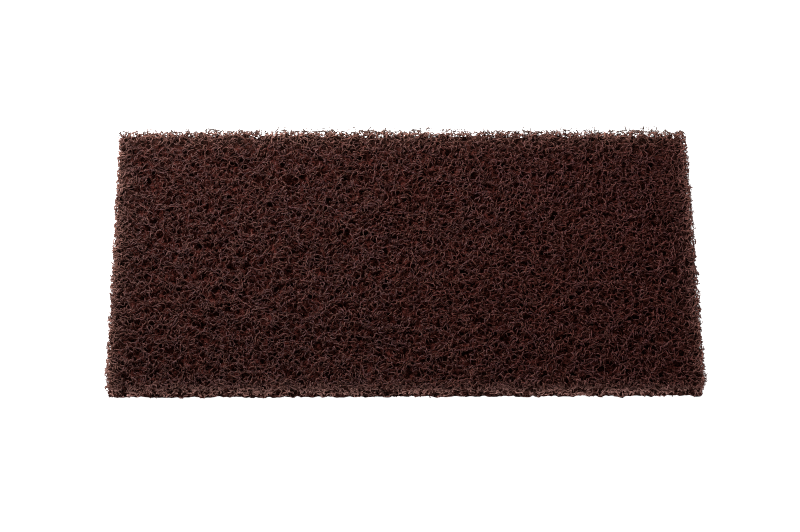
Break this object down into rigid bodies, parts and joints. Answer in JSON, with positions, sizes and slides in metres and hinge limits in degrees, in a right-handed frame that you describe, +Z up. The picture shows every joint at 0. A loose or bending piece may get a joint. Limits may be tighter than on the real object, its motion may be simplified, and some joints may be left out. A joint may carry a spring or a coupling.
{
  "type": "non-woven abrasive pad",
  "caption": "Rectangular slab of coarse open fibre web, resin bonded and coated with grit, for scouring and stripping by hand or under a flat pad holder.",
  "frame": {"origin": "middle of the underside, on the surface that the pad lies on", "axes": "+X along the pad's length, +Y across its width towards the far long edge, +Z up through its thickness"},
  "size_m": [0.25, 0.125, 0.01],
  "materials": {
    "fibre_web": "matte"
  },
  "bodies": {
    "root": {"abrasive_pad": "fibre_web"}
  },
  "joints": []
}
